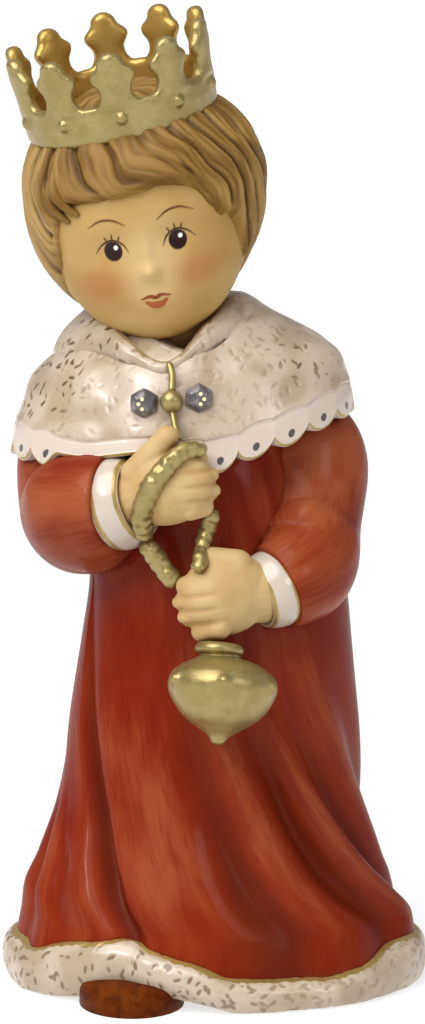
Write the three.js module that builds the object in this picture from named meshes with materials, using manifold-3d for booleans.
// A nativity figurine: one of the three wise men as a crowned child in a red robe with a fur
// hem and a fur shoulder cape, holding a censer on a chain in both hands.
// It is one glazed ceramic casting, so every form is joined into one closed solid.
// Millimetres, +Z up, origin on the ground under the middle. The figure looks along -Y.

import * as THREE from 'three';
import { ConvexGeometry } from 'three/addons/geometries/ConvexGeometry.js';
import { mergeVertices } from 'three/addons/utils/BufferGeometryUtils.js';
import Module from 'manifold-3d';

const wasm = await Module();
wasm.setup();

// Driving dimensions

const HEIGHT = 140; // ground to the highest leaf of the crown
const SCALE = HEIGHT / 140; // the sizes below are stated for a figure 140 mm tall
const CENTRED = [-0.2, 2.1]; // moves the middle of the figure's outline onto the origin
const SMALLEST_STEP = 0.05; // facets flatter than this are joined

const HEAD = { at: [-9.4, -1.6, 110.0], roll: -11, pitch: 9, yaw: -2 };
const HAIR = { locks: 20, grooveDepth: 0.8, sweep: 34 };
const CROWN = { at: [-12.6, -1.4, 123.4], roll: -12.5, pitch: 7, yaw: 1, leaves: 10 };
const CROWN_WALL = { radius: 12.6, flare: 0.1, thickness: 1.7, foot: -0.6 };
const CAPE = { x: -4.3, y: 1.0, top: 98.5, lean: 1.2, trim: 2.4 };
const LOBES = { count: 24, drop: 1.4, first: 1.2, plainAt: -26, plainReach: 26 };
const FOOT_PLUG = { at: [2.5, 1.0], radii: [22.5, 17.0], top: 4.2 };
const CENSER = { at: [1.2, -20.3, 51.8], lean: 14, studs: 7 };
const GLAZE_RED = 0x9c3a22;

// Small helpers

const RAD = Math.PI / 180;
const clamp01 = (x) => Math.min(1, Math.max(0, x));
const smoothstep = (x) => clamp01(x) ** 2 * (3 - 2 * clamp01(x));
const mix = (a, b, t) => a + (b - a) * t;
const turnBetween = (from, to) => ((((to - from) % 360) + 540) % 360) - 180;
const v3 = (p) => new THREE.Vector3(p[0], p[1], p[2]);
const range = (count) => Array.from({ length: count }, (_, i) => i);
const fullTurn = (steps) => range(steps).map((i) => (i * 360) / steps);

// A smooth value through rows of [place, value, value, ...], for one column.
function along(rows, place, column = 1) {
  const last = rows.length - 1;
  if (place <= rows[0][0]) return rows[0][column];
  if (place >= rows[last][0]) return rows[last][column];
  const i = rows.findIndex((row) => row[0] > place) - 1;
  const [a, b] = [rows[i], rows[i + 1]];
  const before = rows[Math.max(0, i - 1)];
  const after = rows[Math.min(last, i + 2)];
  const span = b[0] - a[0];
  const t = (place - a[0]) / span;
  const slopeA = ((b[column] - before[column]) / (b[0] - before[0])) * span;
  const slopeB = ((after[column] - a[column]) / (after[0] - a[0])) * span;
  return (
    a[column] * (1 + 2 * t) * (1 - t) ** 2 +
    slopeA * t * (1 - t) ** 2 +
    b[column] * t * t * (3 - 2 * t) +
    slopeB * t * t * (t - 1)
  );
}

// The same, for rows whose place is an angle that closes on itself.
function around(rows, angle, column = 1) {
  const turned = (((angle - rows[0][0]) % 360) + 360) % 360;
  const wrapped = [-1, 0, 1].flatMap((k) =>
    rows.map((row) => [row[0] - rows[0][0] + 360 * k, ...row.slice(1)]),
  );
  return along(wrapped, turned, column);
}

// A point of an elliptic ring, seen from its middle at an angle from the front. Angles run
// from the front towards the figure's left hand.
function ringPoint(middleX, middleY, width, depth, angle, z, extra = 0) {
  const [s, c] = [Math.sin(angle * RAD), Math.cos(angle * RAD)];
  const r = 1 / Math.hypot(s / width, c / depth) + extra;
  return new THREE.Vector3(middleX + r * s, middleY - r * c, z);
}

// A closed three.js geometry as a solid that can be joined and cut.
function solid(geometry) {
  const bare = geometry.index ? geometry.toNonIndexed() : geometry.clone();
  bare.deleteAttribute('normal');
  bare.deleteAttribute('uv');
  const merged = mergeVertices(bare, 1e-4);
  return new wasm.Manifold(
    new wasm.Mesh({
      numProp: 3,
      vertProperties: merged.attributes.position.array,
      triVerts: new Uint32Array(merged.index.array),
    }),
  );
}

const joined = (solids) => solids.reduce((a, b) => a.add(b));
const placed = (made, matrix) => made.transform(matrix.elements);

// Triangles between two rings of points, which may have different counts.
function stripFaces([startA, countA], [startB, countB]) {
  const steps = Math.max(countA, countB);
  const at = (start, count, k) => start + (Math.round((k * count) / steps) % count);
  return range(steps).flatMap((k) => {
    const [a, b] = [at(startA, countA, k), at(startA, countA, k + 1)];
    const [d, c] = [at(startB, countB, k), at(startB, countB, k + 1)];
    return [...(a === b ? [] : [a, b, c]), ...(c === d ? [] : [a, c, d])];
  });
}

// A solid through closed rings of points, ring by ring. Unless the rings close on each other,
// each end closes on its middle.
function loft(rings, { loop = false } = {}) {
  const starts = rings.map((ring, i) => rings.slice(0, i).flat().length);
  const spans = rings.map((ring, i) => [starts[i], ring.length]);
  const points = rings.flat();
  const pairs = range(loop ? rings.length : rings.length - 1);
  const faces = pairs.flatMap((i) => stripFaces(spans[i], spans[(i + 1) % rings.length]));
  if (!loop) {
    const middle = (ring) => ring.reduce((s, p) => s.add(p), v3([0, 0, 0])).divideScalar(ring.length);
    const ends = [points.length, points.length + 1];
    points.push(middle(rings[0]), middle(rings[rings.length - 1]));
    faces.push(...stripFaces([ends[0], 1], spans[0]));
    faces.push(...stripFaces(spans[rings.length - 1], [ends[1], 1]));
  }
  const geometry = new THREE.BufferGeometry().setFromPoints(points);
  const made = solid(geometry.setIndex(faces));
  return made.volume() > 0 ? made : solid(geometry.setIndex([...faces].reverse()));
}

// An ellipsoid, turned by degrees about X, Y and Z.
function ball(at, radii, { turn = [0, 0, 0], sides = 12, rows = 8 } = {}) {
  const euler = new THREE.Euler(...turn.map((a) => a * RAD), 'ZYX');
  const geometry = new THREE.SphereGeometry(1, sides, rows).rotateX(Math.PI / 2);
  geometry.scale(...radii).applyMatrix4(new THREE.Matrix4().makeRotationFromEuler(euler));
  return solid(geometry.translate(...at));
}

// A smooth limb through stations of [x, y, z, radius], with round ends.
function limb(stations, { sides = 12, rows = 10, knots = 0, knotRise = 0 } = {}) {
  const curve = new THREE.CatmullRomCurve3(stations.map(v3));
  const radiusRows = stations.map((s, i) => [i / (stations.length - 1), s[3]]);
  const total = curve.getLength();
  const { normals, binormals } = curve.computeFrenetFrames(rows);
  const rings = range(rows + 1).map((i) => {
    const share = i / rows;
    const bulge = knotRise * Math.cos(share * 2 * Math.PI * knots);
    const radius = along(radiusRows, curve.getUtoTmapping(share)) + bulge;
    const fromEnd = clamp01((Math.min(share, 1 - share) * total) / radius);
    const rounded = radius * Math.sqrt(Math.max(0.15, 1 - (1 - fromEnd) ** 2));
    return fullTurn(sides).map((a) =>
      curve
        .getPointAt(share)
        .addScaledVector(normals[i], rounded * Math.cos(a * RAD))
        .addScaledVector(binormals[i], rounded * Math.sin(a * RAD)),
    );
  });
  return loft(rings);
}

// The hull of two balls, as a finger, a thumb or a neck.
function link(a, radiusA, b, radiusB, sides = 5) {
  const ends = [
    [a, radiusA],
    [b, radiusB],
  ];
  const points = ends.flatMap(([at, radius]) => {
    const rows = sides > 6 ? 5 : 3;
    const sphere = new THREE.SphereGeometry(radius, sides, rows).translate(...at);
    const place = sphere.getAttribute('position');
    return range(place.count).map((i) => new THREE.Vector3().fromBufferAttribute(place, i));
  });
  return solid(new ConvexGeometry(points));
}

// Where the head or the crown sits: rolled to the side, then bowed and turned.
function frameAt({ at, roll, pitch, yaw }) {
  const euler = new THREE.Euler(pitch * RAD, roll * RAD, yaw * RAD, 'ZYX');
  return new THREE.Matrix4().makeRotationFromEuler(euler).setPosition(...at);
}

// Robe. Its surface is laid out in tracks that run down along the folds, so that each ridge
// and each groove keeps its edge as it sweeps round to the hem.

const ROBE_RINGS = [
  // height, half width, half depth, middle x, middle y
  [5, 28.8, 23.0, 0.3, 0.0],
  [10, 27.7, 21.8, 0.4, 0.0],
  [14, 26.2, 20.8, -0.4, 0.0],
  [18, 24.2, 19.7, -0.5, 0.0],
  [26, 22.0, 18.0, -0.2, 0.2],
  [40, 20.5, 16.7, 0.2, 0.4],
  [50, 19.3, 15.9, 0.6, 0.5],
  [58, 18.3, 15.4, 0.7, 0.6],
  [66, 17.2, 14.8, -0.6, 0.8],
  [75, 16.0, 14.0, -2.6, 1.0],
  [84, 13.5, 12.0, -4.4, 1.0],
];
const ROBE_LEVELS = [12.5, 18, 24, 31, 40, 51, 63, 84];

const FOLDS = [
  // angle under the arms, angle at the hem, rise at the hem, height where it begins
  [-76, -28, -2.8, 64],
  [-60, -19, 0.7, 52],
  [-34, -6, 1.0, 56],
  [-14, 22, -1.6, 42],
  [-4, 42, 0.9, 42],
  [8, 64, -3.0, 46],
  [15, 81, 1.1, 46],
  [26, 97, -2.4, 50],
  [40, 111, 0.7, 52],
  [56, 125, -1.4, 54],
  [78, 138, 0.6, 50],
  [100, 157, -1.5, 50],
  [124, 174, 0.8, 50],
  [148, 190, -1.5, 50],
  [170, 206, 0.8, 50],
  [192, 222, -1.5, 50],
  [214, 238, 0.8, 50],
  [236, 256, -1.2, 46],
  [252, 270, 0.6, 40],
  [264, 284, -1.4, 38],
  [271, 293, 0.6, 34],
  [277, 302, -0.9, 24],
  [281, 317, 0.5, 24],
];
const FOLD_TOP = 58;
const FOLD_HEM = 10;
const FOLD_CURVE = 1.7; // how late a fold sweeps aside as it falls
const FOLD_FULL = 15; // height at which a fold has its whole rise

// Whole numbers of track are the folds' own lines, in order round the robe.
function robeTrack(track, z) {
  const i = Math.floor(track) % FOLDS.length;
  const t = track - Math.floor(track);
  const here = FOLDS[i];
  const next = FOLDS[(i + 1) % FOLDS.length];
  const lap = i + 1 === FOLDS.length ? 360 : 0;
  const fallen = clamp01((FOLD_TOP - z) / (FOLD_TOP - FOLD_HEM)) ** FOLD_CURVE;
  const lineOf = ([above, hem]) => mix(above, hem, fallen);
  const riseOf = ([, , rise, from]) => rise * smoothstep((from - z) / (from - FOLD_FULL));
  return {
    angle: mix(lineOf(here), lineOf(next) + lap, t),
    rise: mix(riseOf(here), riseOf(next), smoothstep(t)),
  };
}

function robePoint(track, z, { foldShare = 1, out = 0 } = {}) {
  const [width, depth, x, y] = [1, 2, 3, 4].map((column) => along(ROBE_RINGS, z, column));
  const { angle, rise } = robeTrack(track, z);
  return ringPoint(x, y, width, depth, angle, z, rise * foldShare + out);
}

// Fur hem: a roll along the robe's lower edge, which lifts over the shoe

const HEM_EDGES = [
  // angle, height of the upper edge, height of the underside
  [-92, 7.6, -0.4],
  [-69, 6.9, -0.4],
  [-54, 8.6, -0.2],
  [-40, 9.9, 1.0],
  [-24, 10.0, 2.3],
  [-4, 7.0, 0.7],
  [10, 5.1, -0.3],
  [31, 4.5, -0.4],
  [50, 5.4, -0.4],
  [82, 7.7, -0.4],
  [130, 7.4, -0.4],
  [180, 7.2, -0.4],
  [225, 7.4, -0.4],
];
const HEM_SECTION = [
  // how far out of the robe, share of the way from the underside to the upper edge
  [-3.4, 0.4],
  [-2.0, 0.04],
  [0.9, 0.0],
  [2.1, 0.2],
  [2.5, 0.5],
  [1.8, 0.82],
  [-0.6, 1.0],
];

const HEM_FOLD_SHARE = 0.3; // the fur hardly follows the folds

function hemPoint(track, [out, share]) {
  const { angle } = robeTrack(track, FOLD_HEM);
  const [top, low] = [1, 2].map((column) => around(HEM_EDGES, angle, column));
  return robePoint(track, top, { foldShare: HEM_FOLD_SHARE, out }).setZ(mix(low, top, share));
}

// The robe and its hem in one surface, closed below by a low plug that fills the foot.
function gown() {
  const tracks = range(FOLDS.length * 2).map((i) => i / 2);
  const plug = (z) =>
    range(FOLDS.length).map((track) =>
      ringPoint(...FOOT_PLUG.at, ...FOOT_PLUG.radii, robeTrack(track, FOLD_HEM).angle, z),
    );
  const hem = HEM_SECTION.map((place) => tracks.map((track) => hemPoint(track, place)));
  const robe = ROBE_LEVELS.map((z) => tracks.map((track) => robePoint(track, z)));
  return loft([plug(0), plug(FOOT_PLUG.top), ...hem, ...robe]);
}

// The shoe that shows under the lifted hem

function shoe() {
  return ball([-11.4, -17.0, 0.2], [7.3, 11.0, 4.4], { turn: [0, 0, 3], sides: 16, rows: 6 });
}

// Sleeves, cuffs and hands

const RIGHT_SLEEVE = [
  [-15.5, 2.5, 84, 8.0],
  [-18.6, 1.2, 76.5, 9.0],
  [-18.0, -3.2, 68.6, 9.2],
  [-16.0, -10.0, 68.4, 8.2],
  [-13.2, -14.2, 70.1, 6.8],
];
const LEFT_SLEEVE = [
  [9.5, 2.5, 84, 8.2],
  [12.9, 1.4, 74.5, 9.2],
  [12.8, -3.4, 65.9, 8.3],
  [11.4, -10.0, 60.8, 7.4],
  [9.0, -13.8, 58.9, 6.2],
];
const SLEEVE_FACETS = { sides: 13, rows: 9 };
const RIGHT_CUFF = { at: [-13.2, -14.6, 70.1], axis: [0.84, -0.48, 0.28], radius: 6.6 };
const LEFT_CUFF = { at: [9.0, -14.4, 58.9], axis: [-0.84, -0.46, -0.3], radius: 6.1 };
const CUFF_PROFILE = [
  // distance along the wrist, share of the cuff's radius
  [-3.0, 0.8],
  [-0.2, 0.95],
  [0.6, 1.0],
  [3.0, 0.88],
  [3.6, 0.8],
];

function cuff({ at, axis, radius }) {
  const way = v3(axis).normalize();
  const side = new THREE.Vector3().crossVectors(way, v3([0, 0, 1])).normalize();
  const up = new THREE.Vector3().crossVectors(side, way);
  const rings = CUFF_PROFILE.map(([distance, share]) =>
    fullTurn(14).map((a) =>
      v3(at)
        .addScaledVector(way, distance)
        .addScaledVector(side, radius * share * Math.cos(a * RAD))
        .addScaledVector(up, radius * share * Math.sin(a * RAD)),
    ),
  );
  return loft(rings);
}

// A loose fist: the back of the hand, the wrist, the thumb and four fingers side by side.
function fist({ palm, turn, wrist, thumb, knuckle, tip, spread, fingers }) {
  const back = ball(palm.at, palm.radii, { turn, sides: 11, rows: 6 });
  const toCuff = link(wrist, palm.radii[2] * 0.86, palm.at, palm.radii[1] * 0.96, 7);
  const sides = range(4).map((i) => {
    const off = (i - 1.5) * fingers.pitch;
    const shift = v3(spread).multiplyScalar(off);
    const start = v3(knuckle).add(shift);
    const end = v3(tip).addScaledVector(shift, 1.05);
    end.x -= Math.sign(tip[0] - knuckle[0]) * 0.14 * off * off;
    return link(start.toArray(), fingers.radius, end.toArray(), fingers.radius * 0.85);
  });
  return joined([back, toCuff, link(...thumb), ...sides]);
}

const RIGHT_HAND = {
  palm: { at: [-6.2, -18.6, 73.6], radii: [6.8, 4.1, 5.3] },
  turn: [0, -16, -16],
  wrist: [-11.4, -15.6, 71.2],
  thumb: [[-10.4, -17.4, 74.8], 2.7, [-6.2, -19.2, 80.6], 1.7],
  knuckle: [-3.6, -20.2, 74.0],
  tip: [-0.3, -18.8, 74.2],
  spread: [-0.12, 0, 1],
  fingers: { pitch: 2.1, radius: 1.75 },
};
const LEFT_HAND = {
  palm: { at: [1.8, -18.4, 58.6], radii: [6.6, 4.3, 5.8] },
  turn: [0, -14, 16],
  wrist: [7.2, -15.4, 58.8],
  thumb: [[3.4, -18.6, 62.6], 2.3, [-0.8, -18.6, 63.6], 1.7],
  knuckle: [-0.2, -20.6, 57.2],
  tip: [-3.9, -19.2, 56.6],
  spread: [-0.32, 0, 0.95],
  fingers: { pitch: 2.1, radius: 1.8 },
};

// Chain and censer

const CHAIN_ROUTES = [
  // over the right hand, then two short strands down to the left hand
  [
    [-0.7, -20.0, 79.2, 1.5],
    [-3.6, -21.2, 79.7, 1.7],
    [-6.8, -22.6, 77.6, 1.8],
    [-9.4, -22.4, 73.8, 1.8],
    [-10.8, -20.8, 69.6, 1.7],
    [-9.9, -18.4, 66.2, 1.8],
  ],
  [
    [-9.6, -17.8, 65.8, 1.6],
    [-7.6, -17.0, 62.6, 1.7],
    [-4.8, -18.0, 59.4, 1.5],
  ],
  [
    [-0.4, -18.2, 70.2, 1.2],
    [-0.9, -16.6, 67.0, 1.25],
    [-1.8, -17.0, 63.8, 1.3],
    [-2.4, -18.6, 61.2, 1.3],
  ],
];

const chain = () =>
  joined(
    CHAIN_ROUTES.map((route) => {
      const knots = route.length;
      return limb(route, { sides: 6, rows: knots * 2, knots, knotRise: 0.14 });
    }),
  );

const CENSER_PROFILE = [
  // radius, height under the top
  [0.0, -13.2],
  [0.9, -13.1],
  [1.4, -12.0],
  [3.4, -10.8],
  [6.0, -8.8],
  [7.6, -6.8],
  [7.8, -5.0],
  [6.4, -3.1],
  [3.7, -2.0],
  [3.7, -0.8],
  [2.8, 0.0],
  [0.0, 0.0],
];

function censer() {
  const outline = CENSER_PROFILE.map(([r, h]) => new THREE.Vector2(r, h));
  const body = solid(new THREE.LatheGeometry(outline, 16).rotateX(Math.PI / 2));
  const studs = fullTurn(CENSER.studs).map((a) =>
    ball(ringPoint(0, 0, 7.1, 7.1, a, -4.3).toArray(), [0.8, 0.8, 0.8], { sides: 5, rows: 3 }),
  );
  const lean = new THREE.Matrix4().makeRotationX(-CENSER.lean * RAD).setPosition(...CENSER.at);
  return placed(joined([body, ...studs]), lean);
}

// Cape: a fur dome over the shoulders, with a scalloped trim and a collar rolled down in front

const CAPE_PROFILE = [
  // share of the way up, half width, half depth
  [0.0, 24.2, 18.6],
  [0.12, 23.9, 18.4],
  [0.25, 22.9, 17.7],
  [0.45, 21.5, 16.4],
  [0.6, 18.8, 14.8],
  [0.75, 14.7, 12.2],
  [0.88, 11.0, 10.0],
  [1.0, 8.0, 8.0],
];
const CAPE_EDGE = [
  // angle, height of the edge between two lobes
  [-90, 77.9],
  [-64, 77.6],
  [-40, 77.0],
  [-15, 78.0],
  [2, 77.4],
  [16, 77.4],
  [31, 79.2],
  [46, 80.8],
  [61, 82.6],
  [80, 83.8],
  [110, 83.4],
  [150, 81.0],
  [200, 79.2],
  [235, 78.4],
];
const COLLAR = [
  // angle, the middle of the roll as x, y and z, its radius, share of the cape where it lies
  [-180, -5.4, 11.0, 94.4, 4.0, 0.92],
  [-120, -14.0, 7.6, 94.0, 4.0, 0.88],
  [-75, -15.8, 0.5, 93.2, 4.0, 0.84],
  [-35, -12.4, -8.8, 91.2, 3.3, 0.66],
  [-8, -7.2, -13.0, 88.8, 2.2, 0.52],
  [8, -4.6, -13.0, 89.0, 2.2, 0.52],
  [35, -0.4, -8.6, 92.2, 3.3, 0.66],
  [75, 3.6, 0.5, 94.8, 4.0, 0.84],
  [120, 2.6, 7.6, 94.8, 4.0, 0.88],
];

function capePoint(angle, share, extra = 0, drop = 0) {
  const edge = around(CAPE_EDGE, angle);
  const [width, depth] = [1, 2].map((column) => along(CAPE_PROFILE, share, column));
  const z = mix(edge, CAPE.top, share) - drop;
  return ringPoint(CAPE.x + CAPE.lean * share, CAPE.y, width, depth, angle, z, extra);
}

const collarMiddle = (angle) => v3([1, 2, 3].map((column) => around(COLLAR, angle, column)));

// The trim hangs in lobes, but runs plain where the raised arm lifts it.
function lobeDrop(angle) {
  const phase = ((angle - LOBES.first) * LOBES.count * RAD) / 2;
  const fromArm = Math.abs(turnBetween(LOBES.plainAt, angle)) - LOBES.plainReach;
  return LOBES.drop * Math.abs(Math.cos(phase)) * smoothstep(fromArm / 8);
}

// One surface from under the trim, round its lobes and over the dome. It ends inside the
// collar's roll, so that the neck stands free in front.
function cape() {
  const coarse = fullTurn(32);
  const fine = fullTurn(LOBES.count * 4).map((angle) => angle + LOBES.first);
  const trimShare = (angle) => CAPE.trim / (CAPE.top - around(CAPE_EDGE, angle));
  const collarShare = (angle) => around(COLLAR, angle, 5);
  const steps = 5;
  const dome = range(steps).map((i) =>
    coarse.map((angle) =>
      capePoint(angle, mix(trimShare(angle) + 0.03, collarShare(angle), i / (steps - 1))),
    ),
  );
  return loft([
    coarse.map((angle) => capePoint(angle, 0.1, -6)),
    fine.map((angle) => capePoint(angle, 0, -1.2, lobeDrop(angle))),
    fine.map((angle) => capePoint(angle, 0, 0.4, lobeDrop(angle))),
    coarse.map((angle) => capePoint(angle, trimShare(angle), 0.4)),
    ...dome,
    coarse.map(collarMiddle),
  ]);
}

function collar() {
  const rings = fullTurn(18).map((angle) => {
    const middle = collarMiddle(angle);
    const radius = around(COLLAR, angle, 4);
    const outward = v3([middle.x + 5.8, middle.y - 1, 0]).normalize();
    return fullTurn(7).map((a) =>
      middle
        .clone()
        .addScaledVector(outward, radius * Math.cos(a * RAD))
        .setZ(middle.z + radius * Math.sin(a * RAD)),
    );
  });
  return loft(rings, { loop: true });
}

function clasp() {
  const bead = ball([-5.7, -17.4, 85.4], [1.7, 1.7, 1.7], { sides: 8, rows: 6 });
  const buttons = [-1, 1].map((side) =>
    ball([-5.7 + side * 3.8, -16.5, 85.3 + side * 0.3], [2.0, 1.3, 2.0], { sides: 6, rows: 4 }),
  );
  const loop = link([-5.9, -15.6, 89.4], 0.6, [-5.7, -17.0, 86.6], 0.6, 5);
  const cord = link([-5.5, -17.6, 84.0], 0.6, [-4.6, -19.4, 80.4], 0.6, 5);
  return joined([bead, ...buttons, loop, cord]);
}

// Head, in its own frame: the face looks along -Y

const HEAD_RINGS = [
  // height, half width, half depth, middle y
  [-16.2, 1.5, 1.5, -6.4],
  [-15.2, 4.8, 4.8, -6.0],
  [-13.0, 8.6, 8.6, -4.4],
  [-10.0, 11.4, 11.4, -2.6],
  [-6.0, 13.6, 13.4, -1.0],
  [-1.0, 14.8, 14.6, 0.0],
  [4.0, 14.9, 14.8, 0.4],
  [9.0, 13.0, 13.2, 0.6],
  [13.0, 9.0, 9.4, 0.8],
];

function face() {
  const skin = loft(
    HEAD_RINGS.map(([z, width, depth, y]) =>
      fullTurn(16).map((angle) => ringPoint(0, y, width, depth, angle, z)),
    ),
  );
  const nose = ball([0, -14.3, -4.4], [1.4, 1.5, 1.2], { sides: 6, rows: 4 });
  const neck = link([0.4, 1.0, -12], 6.4, [1.6, 3.0, -21], 7.6, 10);
  return joined([skin, nose, neck]);
}

const HAIR_RINGS = [
  // height, half width, half depth, middle x, middle y
  [18.4, 5.0, 5.0, 0.0, 0.9],
  [14.6, 12.6, 11.8, 0.3, 0.9],
  [10.2, 16.2, 15.3, 0.6, 0.9],
  [5.2, 17.4, 16.8, 0.7, 0.9],
  [0.4, 17.2, 17.0, 0.4, 0.9],
  [-4.2, 15.9, 16.4, 0.1, 1.1],
  [-8.6, 13.4, 14.8, -0.2, 1.6],
  [-12.6, 9.6, 11.4, -0.2, 2.2],
  [-15.0, 5.0, 6.0, 0.0, 2.6],
];

// Locks of hair fall from the crown and sweep towards the figure's left as they fall. Every
// second column is a groove between two locks.
function hair() {
  const [top, bottom] = [HAIR_RINGS[0][0], HAIR_RINGS[HAIR_RINGS.length - 1][0]];
  const rings = HAIR_RINGS.map(([z, width, depth, x, y]) => {
    const fallen = (top - z) / (top - bottom);
    const groove = HAIR.grooveDepth * smoothstep(4 * Math.min(fallen, 1 - fallen));
    return fullTurn(HAIR.locks * 2).map((column, j) => {
      const angle = column + HAIR.sweep * smoothstep(fallen);
      return ringPoint(x, y, width, depth, angle, z, -groove * (j % 2));
    });
  });
  return loft(rings).subtract(faceWindow());
}

// The opening of the hair over the face: the fringe above, the side locks left and right.
function faceWindow() {
  const outline = new THREE.Shape();
  outline.moveTo(-13.4, 1.0);
  outline.quadraticCurveTo(-11.0, 5.0, -6.0, 4.4);
  outline.quadraticCurveTo(1.0, 4.6, 9.4, 7.0);
  outline.quadraticCurveTo(10.0, 2.2, 13.4, 1.4);
  outline.lineTo(13.4, -5.5);
  outline.quadraticCurveTo(12.0, -14, 6, -24);
  outline.lineTo(-6, -24);
  outline.quadraticCurveTo(-12.4, -14, -13.4, -5.5);
  outline.closePath();
  const window = { depth: 26, curveSegments: 4, bevelEnabled: false };
  const geometry = new THREE.ExtrudeGeometry(outline, window);
  return solid(geometry.rotateX(Math.PI / 2).translate(0, -3.5, 0));
}

// Crown: a flared band with ten three-lobed leaves. A panel is half a leaf with its share of
// the band, cut flat and then bent to the band's curve.

const HALF_LEAF = [
  // from the bottom of the notch: distance from the leaf's middle line, height above the foot
  [4.0, 5.1],
  [3.1, 5.5],
  [2.1, 6.6],
  [1.9, 8.0],
  [2.8, 9.1],
  [2.5, 10.3],
  [1.4, 11.1],
  [1.3, 12.4],
  [0, 13.3],
];

// A point of the unrolled band, bent round: how far across, how high, on which face.
function crownPoint(leaf, across, height, face_) {
  const reach = CROWN_WALL.radius + CROWN_WALL.flare * height + (face_ * CROWN_WALL.thickness) / 2;
  const angle = (leaf * 360) / CROWN.leaves + across / CROWN_WALL.radius / RAD;
  return ringPoint(0, 0, reach, reach, angle, height);
}

// Panels share their upright edges, so only the band's foot and the leaf's edge get a wall.
function crownPanel(leaf, side) {
  const halfPitch = (Math.PI * CROWN_WALL.radius) / CROWN.leaves;
  const [topOfNotch, ...leafEdge] = HALF_LEAF;
  const outline = [
    [0, CROWN_WALL.foot],
    [halfPitch, CROWN_WALL.foot],
    [halfPitch, topOfNotch[1]],
    ...leafEdge,
  ];
  const flat = outline.map(([x, h]) => new THREE.Vector2(x, h));
  const corner = (i, face_) => crownPoint(leaf, outline[i][0] * side, outline[i][1], face_);
  const triangles = THREE.ShapeUtils.triangulateShape(flat, []).flatMap(([a, b, c]) => [
    [corner(a, 1), corner(b, 1), corner(c, 1)],
    [corner(a, -1), corner(c, -1), corner(b, -1)],
  ]);
  const walled = range(outline.length - 1).filter((i) => i !== 1);
  for (const i of walled) {
    const [a, b, c, d] = [corner(i, 1), corner(i, -1), corner(i + 1, -1), corner(i + 1, 1)];
    triangles.push([a, b, c], [a, c, d]);
  }
  return side > 0 ? triangles : triangles.map(([a, b, c]) => [a, c, b]);
}

function crown() {
  const panels = range(CROWN.leaves).flatMap((leaf) =>
    [1, -1].flatMap((side) => crownPanel(leaf, side)),
  );
  const band = solid(new THREE.BufferGeometry().setFromPoints(panels.flat()));
  const pearls = range(CROWN.leaves).map((leaf) => {
    const at = crownPoint(leaf, 0, 3.4, 1.5);
    return ball(at.toArray(), [0.9, 0.9, 0.9], { sides: 5, rows: 3 });
  });
  return joined([band, ...pearls]);
}

// The whole casting

// Everything stands on the flat plane at height 0.
function cutFlat(made) {
  const block = new THREE.BoxGeometry(120, 120, 20).translate(0, 0, -10);
  return made.subtract(solid(block));
}

function figurine() {
  const dress = [gown(), shoe(), cape(), collar(), clasp()];
  const sleeves = [RIGHT_SLEEVE, LEFT_SLEEVE].map((stations) => limb(stations, SLEEVE_FACETS));
  const cuffs = [RIGHT_CUFF, LEFT_CUFF].map(cuff);
  const hands = [RIGHT_HAND, LEFT_HAND].map(fist);
  const head = placed(face().add(hair()), frameAt(HEAD));
  const royal = placed(crown(), frameAt(CROWN));
  const whole = joined([...dress, ...sleeves, ...cuffs, ...hands, chain(), censer(), head, royal]);
  return cutFlat(whole).translate([...CENTRED, 0]).scale(SCALE).simplify(SMALLEST_STEP);
}

function meshOf(made, name, colour) {
  const { vertProperties, triVerts } = made.getMesh();
  const geometry = new THREE.BufferGeometry();
  geometry.setAttribute('position', new THREE.BufferAttribute(vertProperties, 3));
  geometry.setIndex(new THREE.BufferAttribute(triVerts, 1));
  geometry.computeVertexNormals();
  const material = new THREE.MeshStandardMaterial({ color: colour, roughness: 0.3, metalness: 0 });
  const mesh = new THREE.Mesh(geometry, material);
  mesh.name = name;
  return mesh;
}

const figure = new THREE.Group();
figure.add(meshOf(figurine(), 'figurine', GLAZE_RED));

export default figure;
